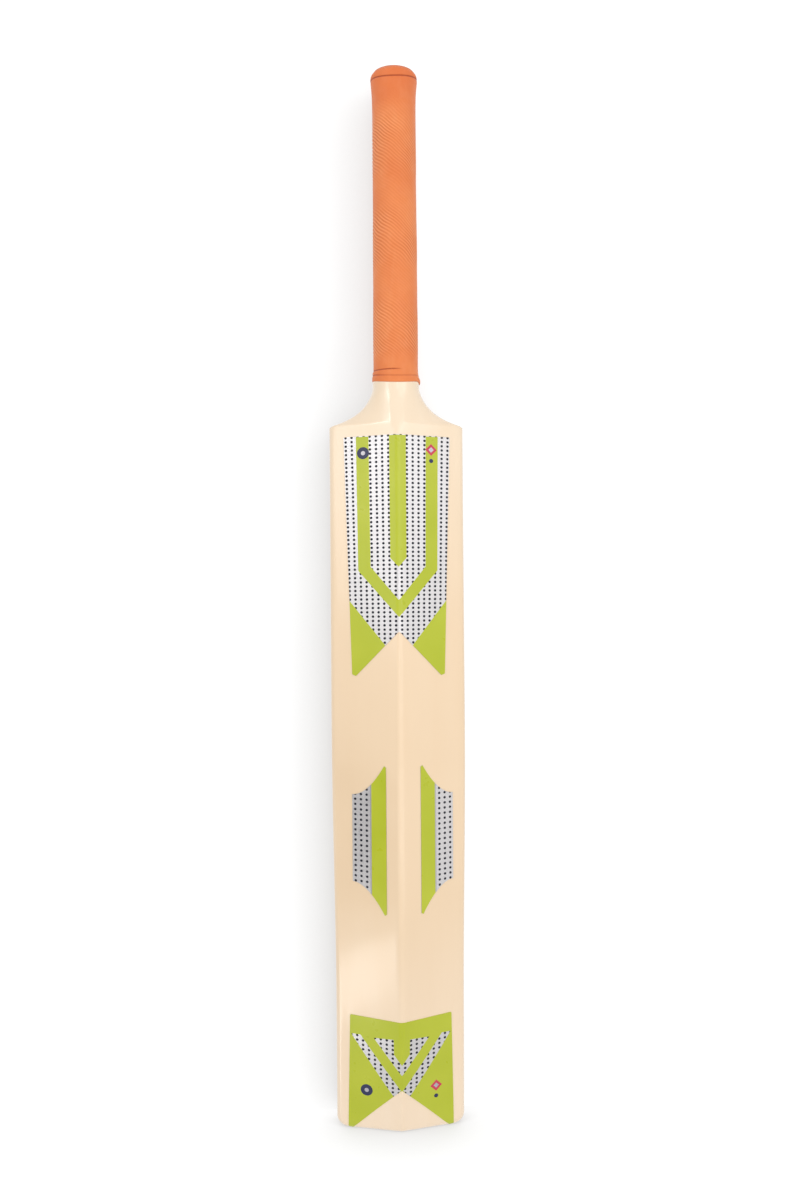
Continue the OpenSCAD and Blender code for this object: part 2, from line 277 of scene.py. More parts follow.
def blade_rings(zs, js):
    """Points of the blade's right half: one row for each height."""
    z, j = np.meshgrid(zs, js, indexing="ij")
    x, y = half_section(z, j)
    m = roundness(z)
    angle = np.pi / 2 - np.pi * j / RIDGE
    x = half_width(z) * narrow(z) * mix(x / side_x(z), np.cos(angle), m)
    y = mix(y, neck_r * np.sin(angle), m)
    y = toe_thinned(y, z)
    up = z + rise_at(x) * np.clip(1 - z / toe_fade_h, 0, None)
    return np.stack([x, y, up], axis=-1)


def back_depth(x, z):
    """Depth of the blade's back at a place x across and z up, from the handle's axis."""
    fade = np.clip(1 - z / toe_fade_h, 0, None)
    ring_z = np.where(fade > 0, (z - rise_at(x)) / (1 - rise_at(x) / toe_fade_h), z)
    a = slope(ring_z)
    wide_x = np.abs(x) / narrow(ring_z)
    run = ridge_r * np.sin(a)
    centre = face_y(ring_z) - spine_t(ring_z) + ridge_r
    on_slope = centre - ridge_r * np.cos(a) + (wide_x - run) * np.tan(a)
    on_ridge = centre - np.sqrt(ridge_r**2 - np.minimum(wide_x, run) ** 2)
    depth = np.where(wide_x >= run, on_slope, on_ridge)
    return toe_thinned(depth, ring_z)


def back_normal(x, z):
    """Outward normal of the blade's back."""
    h = 0.05
    by_x = (back_depth(x + h, z) - back_depth(x - h, z)) / (2 * h)
    by_z = (back_depth(x, z + h) - back_depth(x, z - h)) / (2 * h)
    n = np.stack([by_x, -np.ones_like(by_x), by_z], axis=-1)
    return n / np.linalg.norm(n, axis=-1, keepdims=True)


def back_point(x, z, lift):
    """Point on the blade's back, raised along its normal."""
    flat = np.stack([x, back_depth(x, z), z], axis=-1)
    return flat + lift * back_normal(x, z)


# ---- Meshes ----


def make_piece(name, points, faces, materials, replaced, indices=None, normals=None):
    """A piece from points in millimetres round the handle's axis. It rides on the bat."""
    placed = (np.asarray(points, float) + [0, axis_y, 0]) * MM
    placed = np.clip(placed, np.array(cad_box[0]), np.array(cad_box[1]))
    mesh = bpy.data.meshes.new(name)
    mesh.from_pydata(placed.tolist(), [], [list(map(int, f)) for f in faces])
    for one in materials:
        mesh.materials.append(one)
    if indices is not None:
        mesh.polygons.foreach_set("material_index", np.asarray(indices, np.int32))
    mesh.update()
    mesh.shade_smooth()
    if normals is not None:
        mesh.normals_split_custom_set(np.asarray(normals, float).tolist())
    piece = bpy.data.objects.new(name, mesh)
    bpy.context.scene.collection.objects.link(piece)
    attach(piece, "root")
    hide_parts(*replaced)
    return piece


def grid_faces(rows, columns, loop=False):
    """Quads of a grid of rings of points. With loop, the last ring joins the first."""
    faces = []
    for r in range(rows if loop else rows - 1):
        low, high = r * columns, (r + 1) % rows * columns
        for c in range(columns):
            d = (c + 1) % columns
            faces.append([low + c, high + c, high + d, low + d])
    return faces


def collar_rings(top):
    """Rings of the collar, which rises from the blade's top ring inside the grip's foot."""
    turn = np.arctan2(top[:, 0], -top[:, 1])
    rings = []
    for t in np.linspace(0, 1, 16)[1:]:
        z = mix(flare_top_z, foot_edge(turn) + collar_reach, t)
        r = collar_radius(z - foot_edge(turn))
        rings.append(np.stack([r * np.sin(turn), -r * np.cos(turn), z], axis=-1))
    return rings


def toe_faces(columns):
    """Strips from the face to the back that close the toe, on the right and on the left."""
    half = columns // 2
    faces = []
    for j in range(half // 2):
        strip = [j, j + 1, half - j - 1, half - j]
        if strip[1] == strip[2]:
            strip.pop(2)
        faces.append(strip)
        faces.append([(columns - k) % columns for k in reversed(strip)])
    return faces


def make_blade(material):
    """The lacquered outside of the blade, from the toe to the collar inside the grip's foot."""
    toe_turns = np.radians(np.linspace(90, 0, 17))
    zs = np.concatenate([
        toe_r * (1 - np.sin(toe_turns)),
        np.arange(toe_r + 3, toe_fade_h, 3),
        np.arange(toe_fade_h, shoulder_z - 12, 4),
        np.arange(shoulder_z - 12, flare_top_z, 1.25),
        [flare_top_z],
    ])
    js = np.concatenate([
        np.arange(0, FACE_END, 0.25),
        np.arange(FACE_END, BACK_CORNER_END, 1 / 3),
        np.arange(BACK_CORNER_END, RIDGE + 0.01, 0.25),
    ])
    right = blade_rings(zs, js)
    # The left half leaves out the middle of the face and the ridge, which the right half has
    left = right[:, -2:0:-1] * [-1, 1, 1]
    rings = np.concatenate([right, left], axis=1)
    # The lacquer stands proud of the wood, and of the cane of the splice that shows in it
    across, deep, up = rings[..., 0], rings[..., 1], rings[..., 2]
    splice_reach, middle_y = 40, -edge_peak_t / 4
    deep += lacquer_t * np.where(deep > middle_y, 1, -1) * (np.abs(across) < splice_reach)
    across += lacquer_t * np.sign(across) * (up > shoulder_z - 5)
    rings = np.concatenate([rings, collar_rings(rings[-1])])
    rows, columns = rings.shape[:2]
    collar_top = [(rows - 1) * columns + c for c in range(columns - 1, -1, -1)]
    faces = grid_faces(rows, columns) + toe_faces(columns) + [collar_top]
    make_piece("blade_lacquer", rings.reshape(-1, 3), faces, [material], ["blade"])


# ---- Grip ----


def foot_edge(turn):
    """Height of the grip's lower edge. It hangs lowest at the ridge side and at one drop."""
    drop = foot_drop * np.exp(-((turn - math.pi / 2) / 0.3) ** 2)
    return foot_z + foot_rise - foot_sag * np.clip(np.cos(turn), 0, None) ** 1.4 - drop


def collar_radius(height):
    """The blade's collar inside the foot, which rounds in above the foot's edge."""
    t = np.clip((height - 1) / (collar_reach - 1), 0, 1)
    return neck_r + lacquer_t - collar_step * (1 - np.sqrt(1 - t * t))


def rib_patch(z, turn):
    """How strong the ribs are: they come and go along the grip and round it."""
    wave = 0.5 + 0.5 * np.cos(2 * math.pi * (z - rib_patch_z) / rib_patch_pitch)
    worn = 0.6 + 0.4 * np.sin(2 * turn + 0.8 * np.sin(z / 11) - 2.2)
    ends = ease((z - foot_z - 14) / 12) * ease((bat_len - 22 - z) / 12)
    return (0.12 + 0.88 * ease(1.3 * wave - 0.1) * worn) * ends


def rib_wave(z, turn):
    """Wavy ribs that run down to the right, from -1 in a groove to 1 on a rib."""
    wobble = 1.5 * np.sin(2 * turn + z / 9) + 0.9 * np.sin(5 * turn - z / 5.2)
    return np.sin(rib_count * turn + 2 * math.pi * z / rib_pitch_z + wobble)


def groove(distance, width):
    """A narrow groove's depth, from 1 on its line to 0."""
    return np.exp(-((distance / width) ** 2))


def sleeve_radius(z):
    """Radius of the plain sleeve, which flares towards its lip."""
    below_lip = np.clip(bat_len - 4 - z, 0, None)
    flare = lip_flare * np.exp(-((below_lip / 11) ** 1.3))
    return mix(grip_high_r, grip_low_r, ease((800 - z) / 190)) + flare


def lip_crease(z, turn):
    """The line under the lip, which dips at the ridge side and fades towards the face."""
    line = bat_len - 5.2 - 3.6 * np.clip(np.cos(turn), 0, None) ** 1.5 + 0.5 * np.sin(turn)
    return groove(z - line, 0.55) * ease((np.cos(turn) + 0.55) / 0.5)


def foot_relief(r, height, turn):
    """The rolled foot: a bead, the crease above it and a short fold left of the ridge."""
    right_end = np.exp(-((turn - math.pi / 2) / 0.55) ** 2)
    bead = np.sin(math.pi * np.clip((height + 1.2) / (bead_h + 1.4), 0, 1))
    on_bead = neck_r + (0.4 + 0.75 * right_end) * bead
    above = r + 0.75 * np.exp(-((np.clip(height - bead_h, 0, None) / 3.2) ** 2))
    bead_crease = groove(height - bead_h, 0.5) * mix(0.85, 0.4, ease((turn + 1.2) / 0.9))
    on_left = ease((0.35 - turn) / 0.5) * ease((turn + 2) / 0.5)
    fold_line = 9.6 + 0.7 * np.cos(2 * turn)
    fold = groove(height - fold_line, 0.45) * on_left
    swell = 0.25 * groove(height - fold_line + 1.6, 1.3) * on_left
    return np.where(height < bead_h, on_bead, above) + swell, bead_crease + fold


def grip_relief(z, turn, height):
    """Outside of the grip: its radius, and its crease value for painted shade, which is above 0 in a
    crease, where the rubber is painted darker, and below 0 on a rib, where it is painted lighter as a
    highlight.
    """
    r, foot_crease = foot_relief(sleeve_radius(z), height, turn)
    crease_and_shade = np.clip(lip_crease(z, turn) + foot_crease, 0, 1)
    ribs = rib_patch(z, turn) * rib_wave(z, turn)
    uneven = 0.05 * np.sin(5 * turn + z / 9) * np.sin(z / 13)
    return r - crease_depth * crease_and_shade + rib_h * ribs + uneven, np.clip(crease_and_shade - 0.45 * ribs, -1, 1)


def make_grip(material):
    """The rubber sleeve: ribs, rolled lip and foot outside, and its bore inside."""
    columns = 222
    turn = math.pi - 2 * math.pi * np.arange(columns) / columns
    grip_h = bat_len - foot_z
    # The rings lie closer together at both ends
    heights = np.concatenate([
        np.arange(0.4, 14, 0.3),
        np.arange(14, grip_h - 14, 0.66),
        np.arange(grip_h - 14, grip_h - lip_edge_r, 0.3),
    ])
    skew = foot_edge(turn) - foot_z
    height, turns = np.meshgrid(heights, turn, indexing="ij")
    z = foot_z + height + skew * np.clip(1 - height / 30, 0, 1)
    r, crease_and_shade = grip_relief(z, turns, height)
    # Rounded rim of the lip, then the bore down to the foot, which is wider round the collar
    rim_turns = np.radians(np.linspace(0, 90, 7))[1:, None]
    rim_r = r[-1] - lip_edge_r * (1 - np.cos(rim_turns))
    rim_z = z[-1] + (bat_len - z[-1]) * np.sin(rim_turns)
    bore_heights = np.array([grip_h, grip_h - 1, 200, 100, 30, 12])[:, None]
    seat_heights = np.linspace(collar_reach + 1.2, 0, 9)[:, None]
    inner = np.concatenate([bore_heights, seat_heights]) * np.ones(columns)
    inner_z = foot_z + inner + skew * np.clip(1 - inner / 30, 0, 1)
    seat_r = np.maximum(bore_r, collar_radius(inner_z - foot_edge(turn)) + 0.04)
    above_collar = inner_z - foot_edge(turn) > collar_reach + 0.5
    inner_r = np.where(above_collar, bore_r, seat_r)
    inner_r[0] += 0.9
    radius = np.concatenate([r, rim_r, inner_r])
    up = np.concatenate([z, rim_z, inner_z])
    points = np.stack([radius * np.sin(turn), -radius * np.cos(turn), up], axis=-1)
    rows = len(radius)
    faces = grid_faces(rows, columns, loop=True)
    piece = make_piece("grip_rubber", points.reshape(-1, 3), faces, [material], ["grip"])
    # The crease value goes on the rubber as painted shade in the creases and a painted highlight on the
    # ribs.
    shade = np.zeros((rows, columns))
    shade[: len(r)] = crease_and_shade
    piece.data.attributes.new("crease_and_shade", "FLOAT", "POINT").data.foreach_set("value", shade.ravel())


# ---- Labels ----

# Numbers of the prints, in the order of label_materials()
SILVER, GREEN, DOT, NAVY, CRIMSON, MARGIN = range(6)
# Lines near the ridge along which the foils bend over it
RIDGE_COLUMNS = [0.8 * k for k in range(-6, 7)]


def mirrored(outline):
    """The same outline on the other side of the ridge."""
    return [(-x, z) for x, z in reversed(outline)]


def moved(outline, shift):
    """The same outline, moved to the right."""
    return [(x + shift, z) for x, z in outline]


def disc(x, z, r, points=24):
    """A round outline."""
    turns = [2 * math.pi * k / points for k in range(points)]
    return [(x + r * math.cos(t), z + r * math.sin(t)) for t in turns]


def diamond(x, z, r):
    """A square that stands on its corner."""
    return disc(x, z, r, 4)


def rounded(corners):
    """A closed outline from corners (x, z, radius)."""
    outline = []
    for i, (x, z, radius) in enumerate(corners):
        corner = Vector((x, z))
        before = (Vector(corners[i - 1][:2]) - corner).normalized()
        after = (Vector(corners[(i + 1) % len(corners)][:2]) - corner).normalized()
        half = before.angle(after) / 2
        centre = corner + (before + after).normalized() * radius / math.sin(half)
        start = corner + before * radius / math.tan(half) - centre
        end = corner + after * radius / math.tan(half) - centre
        steps = 6
        outline += [tuple(centre + start.slerp(end, k / steps)) for k in range(steps + 1)]
    return outline


def draped(outline):
    """The outline with points added, so that it follows the rounded ridge."""
    points = []
    for (x0, z0), (x1, z1) in zip(outline, outline[1:] + outline[:1]):
        steps = math.ceil(math.hypot(x1 - x0, z1 - z0) / 6)
        cuts = {k / steps for k in range(steps)}
        cuts |= {(x - x0) / (x1 - x0) for x in RIDGE_COLUMNS if min(x0, x1) < x < max(x0, x1)}
        points += [(mix(x0, x1, t), mix(z0, z1, t)) for t in sorted(cuts)]
    return points


def inside(x, z, outline):
    """True if the point lies within the closed outline."""
    found = False
    for (x0, z0), (x1, z1) in zip(outline, outline[1:] + outline[:1]):
        if (z0 > z) != (z1 > z) and x < x0 + (z - z0) / (z1 - z0) * (x1 - x0):
            found = not found
    return found


def print_at(x, z, ground, prints):
    """Which print shows at a point: the last one that covers it, or the ground."""
    shown = ground
    for index, outline in prints:
        if inside(x, z, outline):
            shown = index
    return shown


def dots_on_silver(centres, outline, ground, prints):
    """Outlines of the printed dots that touch the silver."""
    dots = []
    for x, z in centres:
        dot = disc(x, z, dot_r, 12)
        near = [(x, z)] + dot
        if any(inside(*p, outline) and print_at(*p, ground, prints) == SILVER for p in near):
            dots.append(dot)
    return dots


def print_faces(outline, ground, prints, dots):
    """A label laid flat: its corners (x, z), its faces and the number of each face's print."""
    shapes = [draped(outline)] + [draped(shape) for _, shape in prints] + dots
    flat = []
    shape_faces = []
    for shape in shapes:
        shape_faces.append(list(range(len(flat), len(flat) + len(shape))))
        flat += shape
    heights = [z for _, z in outline]
    steps_x = RIDGE_COLUMNS + [5.0 * k for k in range(-9, 10) if abs(k) > 1]
    steps_z = np.arange(min(heights) + 2, max(heights), 4.0)
    flat += [(x, z) for x in steps_x for z in steps_z if inside(x, z, outline)]
    flat = [Vector(p) for p in flat]
    corners, _, faces, _, _, sources = delaunay_2d_cdt(flat, [], shape_faces, 1, 1e-4, True)
    kept, indices = [], []
    for face, inputs in zip(faces, sources):
        if 0 not in inputs:
            continue
        covering = [k for k in inputs if 0 < k <= len(prints)]
        index = prints[max(covering) - 1][0] if covering else ground
        if index == SILVER and max(inputs) > len(prints):
            index = DOT
        kept.append(face)
        indices.append(index)
    used = sorted({v for face in kept for v in face})
    order = {v: k for k, v in enumerate(used)}
    kept = [[order[v] for v in face] for face in kept]
    return np.array([corners[v] for v in used]), kept, indices


def make_label(name, replaced, materials, outline, ground, prints, centres):
    """One foil label: a closed sheet over the back, with its prints as parts of its top."""
    dots = dots_on_silver(centres, outline, ground, prints)
    corners, kept, indices = print_faces(outline, ground, prints, dots)
    x, z = corners.T
    top, under = back_point(x, z, label_glue + foil_t), back_point(x, z, label_glue)
    up = back_normal(x, z)
    n = len(corners)
    edges = {(face[k - 1], face[k]) for face in kept for k in range(len(face))}
    rim = sorted((a, b) for a, b in edges if (b, a) not in edges)
    faces = kept + [[v + n for v in reversed(face)] for face in kept]
    faces += [[b, a, a + n, b + n] for a, b in rim]
    normals = [up[v] for face in kept for v in face]
    normals += [-up[v] for face in kept for v in reversed(face)]
    for a, b in rim:
        side = np.cross(top[a] - top[b], under[b] - top[b])
        normals += [side / np.linalg.norm(side)] * 4
    rim_index = MARGIN if ground == SILVER else ground
    indices = indices * 2 + [rim_index] * len(rim)
    points = np.concatenate([top, under])
    make_piece(name, points, faces, materials, replaced, indices, normals)


def swallowtail(corners):
    """A closed outline from the corners (x, z, radius) of its right half, top corner first."""
    left = [(-x, z, r) for x, z, r in corners]
    top, notch, tail, tip = corners
    return rounded([left[0], left[3], left[2], notch, tail, tip, top])


def marks(x, z):
    """Plain marks: a navy ring, a crimson diamond and a navy spot, the first two grey inside."""
    badge = [(NAVY, disc(-x, z, 4.8)), (MARGIN, disc(-x, z, 1.7))]
    gem = [(CRIMSON, diamond(x, z + 2.5, 4.8)), (MARGIN, diamond(x, z + 2.5, 2.2))]
    return badge + gem + [(NAVY, disc(x, z - 6.3, 1.7))]


def make_upper_label(materials):
    """The large label below the shoulders, with its swallowtail."""
    top_z, notch_z, tip_z = upper_label_top_z, upper_label_notch_z, upper_label_tip_z
    top_w, tip_w = upper_label_half_w, upper_label_tip_half_w

    def width(z):
        """Half width of the label."""
        return mix(tip_w, top_w, (z - tip_z) / (top_z - tip_z))

    outline = swallowtail([(top_w, top_z, 0.5), (0, notch_z, 0.3), (33.5, tip_z, 1.5), (tip_w, tip_z, 2.2)])
    # A chevron that hangs on two bands, a band on the ridge, and two green tails
    band = [(32.6, top_z), (22.6, top_z), (21.6, 452.4), (0, 426)]
    outer = [(0, 412.6), (31.4, 449.4)]
    chevron = band + mirrored(band)[1:] + mirrored(outer)[:1] + outer
    middle = [(6.5, top_z), (-6.5, top_z), (-6.2, 459), (0, 452), (6.2, 459)]
    tail = [(width(426) + 0.45, 427), (10.6, 390.4), (34.25, tip_z - 1), (tip_w + 1.75, tip_z - 1)]
    prints = [(GREEN, chevron), (GREEN, middle), (GREEN, tail), (GREEN, mirrored(tail))]
    prints += marks(27, 543)
    pitch_x, pitch_z = 4.8, 3.4
    centres = []
    for row in range(int((top_z - tip_z) / pitch_z)):
        z = top_z - 0.2 - pitch_z * row
        for column in range(9):
            x = (2.4 + pitch_x * column) * width(z) / top_w
            centres += [(x, z), (-x, z)]
    make_label("upper_foil", ["upper_label"], materials, outline, SILVER, prints, centres)


def make_side_label(name, replaced, materials, side):
    """A middle label: a green band along the ridge and a dotted silver band outside it."""
    inner_x, band_x, margin_x, outer_x = side_label_inner_x, 25, 26, side_label_outer_x
    inner_h, outer_h = side_label_inner_h / 2, side_label_outer_h / 2
    curve = []
    for k in range(13):
        s = k / 12
        curve.append((mix(inner_x + 1.5, outer_x, s), mix(inner_h, outer_h, 1 - (1 - s) ** 1.9)))
    lower = [(x, side_label_z - h) for x, h in curve]
    upper = [(x, side_label_z + h) for x, h in reversed(curve)]
    ends = [(inner_x, side_label_z + inner_h - 1), (inner_x, side_label_z - inner_h + 1)]
    low, high = side_label_z - 60, side_label_z + 60
    band = [(inner_x - 1, low), (band_x, low), (band_x, high), (inner_x - 1, high)]
    margin = [(band_x, low), (margin_x, low), (margin_x, high), (band_x, high)]
    pitch_z = 4.05
    centres = [(x, side_label_z - 58 + pitch_z * row) for row in range(30) for x in (28.6, 33.1, 37.6)]
    shapes = [lower + upper + ends, band, margin, centres]
    if side < 0:
        shapes = [mirrored(shape) for shape in shapes]
    outline, band, margin, centres = [moved(shape, side_label_shift) for shape in shapes]
    prints = [(GREEN, band), (MARGIN, margin)]
    make_label(name, replaced, materials, outline, SILVER, prints, centres)


def make_toe_label(materials):
    """The lower label: a green field with two dotted silver arms and a dotted silver arrow."""
    top_z, notch_z, tip_z = toe_label_top_z, toe_foil_notch_z, toe_foil_tip_z
    top_w, tip_w = toe_label_half_w, toe_label_tip_half_w
    outline = swallowtail([(top_w, top_z, 0.5), (0, notch_z, 0.3), (38.9, tip_z, 0.6), (tip_w, tip_z, 1)])
    arm = [(39.7, 79.6), (32.4, 79.9), (0.9, 38.0), (5.8, 31.0)]
    inner = [(21.9, 79.1), (6.3, 80.2), (6.1, 67.8)]
    arrow = inner + [(0, 59.3)] + mirrored(inner) + [(0, 50.7)]
    prints = [(SILVER, arm), (SILVER, mirrored(arm)), (SILVER, arrow)]
    prints += marks(27.7, 34.5)
    pitch_x, pitch_z = 4.65, 3.6
    centres = []
    for row in range(14):
        z = 78.9 - pitch_z * row
        for column in range(9):
            x = 2.4 + pitch_x * column
            centres += [(x, z), (-x, z)]
    make_label("toe_foil", ["toe_label"], materials, outline, GREEN, prints, centres)


# ---- Materials ----


def new_material(name, values):
    """A material whose shader has these constant values."""
    material = bpy.data.materials.new(name)
    material.use_nodes = True
    for socket, value in values.items():
        material.node_tree.nodes["Principled BSDF"].inputs[socket].default_value = value
    return material


def add_node(material, kind, inputs=None, **settings):
    """A node of a kind. Its inputs are numbers, colours or outputs of other nodes."""
    tree = material.node_tree
    node = tree.nodes.new("ShaderNode" + kind)
    for key, value in settings.items():
        setattr(node, key, value)
    for key, value in (inputs or {}).items():
        if isinstance(value, bpy.types.NodeSocket):
            tree.links.new(value, node.inputs[key])
        else:
            node.inputs[key].default_value = value
    return node


def feed(material, socket, output):
    """Link an output to the material's shader."""
    material.node_tree.links.new(output, material.node_tree.nodes["Principled BSDF"].inputs[socket])


def place(material, stretch=(1, 1, 1)):
    """The piece's own coordinates in metres, stretched."""
    coordinates = add_node(material, "TexCoord")
    mapping = add_node(material, "Mapping", {"Vector": coordinates.outputs["Object"], "Scale": stretch})
    return mapping.outputs["Vector"]


def noise(material, scale, detail=2, stretch=(1, 1, 1)):
    """Soft noise from 0 to 1, with about scale features in a metre."""
    inputs = {"Vector": place(material, stretch), "Scale": scale, "Detail": detail}
    return add_node(material, "TexNoise", inputs).outputs["Fac"]


def cells(material, scale, stretch=(1, 1, 1), output="Distance"):
    """Cells of a Voronoi pattern, with about scale cells in a metre."""
    inputs = {"Vector": place(material, stretch), "Scale": scale}
    return add_node(material, "TexVoronoi", inputs).outputs[output]


def ramp(material, factor, low, high, start=0.3, end=0.7):
    """From one value to another as the factor goes from start to end."""
    inputs = {"Value": factor, "From Min": start, "From Max": end, "To Min": low, "To Max": high}
    return add_node(material, "MapRange", inputs).outputs["Result"]


def blend(material, factor, low, high):
    """From one colour to another as the factor goes from 0 to 1."""
    node = add_node(material, "Mix", data_type="RGBA")
    tree = material.node_tree
    tree.links.new(factor, node.inputs["Factor"])
    for socket, colour in ((node.inputs[6], low), (node.inputs[7], high)):
        if isinstance(colour, bpy.types.NodeSocket):
            tree.links.new(colour, socket)
        else:
            socket.default_value = (*colour, 1)
    return node.outputs[2]


def bump(material, height, depth, under=None):
    """Relief from a height between 0 and 1, with its depth in millimetres."""
    inputs = {"Height": height, "Distance": depth * MM, "Strength": 1.0}
    if under is not None:
        inputs["Normal"] = under
    return add_node(material, "Bump", inputs).outputs["Normal"]


def height_of(material):
    """Height above the toe, in metres."""
    split = add_node(material, "SeparateXYZ", {"Vector": place(material)})
    return split.outputs["Z"]


def lacquer_material():
    """Opaque cream gloss with faint streaks, waves and one dark speck, painted paler towards the toe and
    the neck as painted light.
    """
    material = new_material("cream_lacquer", {"Coat Weight": 0.7, "Coat Roughness": 0.12, "IOR": 1.45})
    cream, pale = (0.875, 0.66, 0.435), (0.915, 0.70, 0.475)
    tone = blend(material, ramp(material, noise(material, 9), 0, 1), cream, pale)
    # Painted light: the lacquer is painted paler towards the toe and towards the neck.
    painted_light_at_toe = ramp(material, height_of(material), 0.85, 0, 0.02, 0.19)
    painted_light_at_neck = ramp(material, height_of(material), 0, 1, 0.4, 0.57)
    tone = blend(material, painted_light_at_toe, tone, (0.955, 0.775, 0.585))
    tone = blend(material, painted_light_at_neck, tone, (0.935, 0.765, 0.57))
    streaks = ramp(material, noise(material, 60, 3, (1, 1, 0.08)), 0, 0.25, 0.35, 0.75)
    tone = blend(material, streaks, tone, (0.86, 0.625, 0.39))
    speck_place = (-0.047, (axis_y - 12) * MM, 0.026)
    away = add_node(material, "VectorMath", {0: place(material), 1: speck_place}, operation="DISTANCE")
    speck = ramp(material, away.outputs["Value"], 1, 0, 0.0005, 0.0008)
    feed(material, "Base Color", blend(material, speck, tone, (0.03, 0.02, 0.015)))
    feed(material, "Roughness", ramp(material, noise(material, 35, 3), 0.3, 0.42))
    waves = bump(material, noise(material, 22, 1, (1, 1, 0.35)), 0.35)
    orange_peel = bump(material, noise(material, 700, 2), 0.004, waves)
    feed(material, "Normal", orange_peel)
    return material


def print_material(name, low, high, coat=0.15, roughness=0.32):
    """Glossy printed ink with slightly uneven colour under a clear film."""
    values = {"Coat Weight": coat, "Coat Roughness": 0.12, "Specular IOR Level": 0.35}
    material = new_material(name, values)
    uneven = ramp(material, noise(material, 30, 1), 0, 1, 0.2, 0.8)
    feed(material, "Base Color", blend(material, uneven, low, high))
    feed(material, "Roughness", ramp(material, noise(material, 120, 2), roughness - 0.05, roughness + 0.05))
    feed(material, "Normal", bump(material, noise(material, 40, 2, (1, 1, 0.5)), 0.12))
    return material


def silver_material(name, low, high):
    """Silver film that sparkles in fine grains."""
    material = new_material(name, {"Metallic": 0.7, "Coat Weight": 0.35, "Coat Roughness": 0.12})
    grain = cells(material, 3600, output="Color")
    feed(material, "Base Color", blend(material, ramp(material, grain, 0, 1, 0.15, 0.85), low, high))
    feed(material, "Roughness", ramp(material, noise(material, 900, 2), 0.28, 0.45))
    grains = bump(material, cells(material, 3600), 0.006)
    feed(material, "Normal", bump(material, noise(material, 40, 2, (1, 1, 0.5)), 0.12, grains))
    return material


def rubber_material():
    """Orange rubber with a stippled skin and scuffs; painted shade makes it darker and redder towards the
    lip and in its creases, and a painted highlight makes its ribs lighter.
    """
    material = new_material("orange_rubber", {"Specular IOR Level": 0.4, "Sheen Weight": 0.12})
    light, deep = (0.85, 0.255, 0.076), (0.75, 0.182, 0.044)
    tone = blend(material, ramp(material, noise(material, 38, 4), 0, 0.75), light, deep)
    scuffs = ramp(material, noise(material, 150, 5, (1, 1, 0.4)), 0, 0.3, 0.55, 0.8)
    tone = blend(material, scuffs, tone, (0.88, 0.33, 0.125))
    # Painted shade: the rubber is painted darker and redder towards the lip.
    painted_shade_at_lip = ramp(material, height_of(material), 0, 0.55, 0.81, 0.845)
    tone = blend(material, painted_shade_at_lip, tone, (0.76, 0.16, 0.04))
    crease_and_shade = add_node(material, "Attribute", attribute_name="crease_and_shade").outputs["Fac"]
    # Painted highlight: the crests of the ribs are painted lighter.
    tone = blend(material, ramp(material, crease_and_shade, 0, 0.5, 0, -0.3), tone, (0.98, 0.42, 0.17))
    # Painted shade: the creases are painted dark and red.
    feed(material, "Base Color", blend(material, crease_and_shade, tone, (0.36, 0.05, 0.008)))
    feed(material, "Roughness", ramp(material, noise(material, 210, 3), 0.5, 0.72))
    dimples = bump(material, cells(material, 1100, (1, 1, 0.8)), 0.05)
    feed(material, "Normal", bump(material, noise(material, 2200, 2), 0.03, dimples))
    return material


def cane_material():
    """Straw-coloured cane with long fibres, and pores in its sawn end."""
    material = new_material("cane", {"Specular IOR Level": 0.35})
    fibres = ramp(material, noise(material, 1400, 3, (1, 1, 0.02)), 0, 1)
    tone = blend(material, fibres, (0.62, 0.43, 0.19), (0.78, 0.60, 0.33))
    pores = ramp(material, cells(material, 1500, (1, 1, 0.02)), 1, 0, 0.12, 0.3)
    feed(material, "Base Color", blend(material, pores, tone, (0.22, 0.12, 0.05)))
    feed(material, "Roughness", ramp(material, fibres, 0.6, 0.8, 0, 1))
    feed(material, "Normal", bump(material, pores, -0.08))
    return material


def strip_material():
    """Dark cork-like rubber of the shock strips."""
    material = new_material("shock_rubber", {"Specular IOR Level": 0.4})
    dark, worn = (0.025, 0.02, 0.017), (0.07, 0.06, 0.05)
    feed(material, "Base Color", blend(material, noise(material, 900, 4), dark, worn))
    feed(material, "Roughness", ramp(material, noise(material, 400, 2), 0.65, 0.85))
    feed(material, "Normal", bump(material, cells(material, 1300), 0.06))
    return material


def twine_material():
    """Waxed thread wound round and round the handle."""
    material = new_material("waxed_twine", {"Specular IOR Level": 0.35})
    # The wave turns by 20 radians for each unit of its scale
    scale = 2 * math.pi / (20 * twine_pitch * MM)
    turns = {"Vector": place(material), "Scale": scale, "Distortion": 0.3, "Detail": 1.0}
    wound = add_node(material, "TexWave", turns, bands_direction="Z").outputs["Fac"]
    feed(material, "Base Color", blend(material, wound, (0.50, 0.42, 0.28), (0.80, 0.73, 0.56)))
    feed(material, "Roughness", ramp(material, noise(material, 600, 3), 0.6, 0.85))
    feed(material, "Normal", bump(material, wound, 0.35))
    return material


def label_materials():
    """The prints in the order of their numbers."""
    return [
        silver_material("silver_foil", (0.51, 0.495, 0.50), (0.66, 0.64, 0.64)),
        print_material("green_print", (0.45, 0.51, 0.02), (0.51, 0.56, 0.035)),
        print_material("dot_print", (0.006, 0.006, 0.012), (0.014, 0.014, 0.026), coat=0, roughness=0.5),
        print_material("navy_print", (0.012, 0.014, 0.06), (0.02, 0.025, 0.09)),
        print_material("crimson_print", (0.55, 0.03, 0.07), (0.62, 0.045, 0.09)),
        silver_material("grey_foil", (0.38, 0.36, 0.39), (0.47, 0.445, 0.48)),
    ]


def dress_handle():
    """Finish for the handle's own pieces, which show inside the grip's open top."""
    cane, strip, twine = cane_material(), strip_material(), twine_material()
    for name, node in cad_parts.items():
        if name.startswith("cane_"):
            coat = cane
        elif name.startswith("rubber_strip_"):
            coat = strip
        elif name == "twine_binding":
            coat = twine
        else:
            continue
        node.data.materials.clear()
        node.data.materials.append(coat)


# ---- Camera, light and stage ----


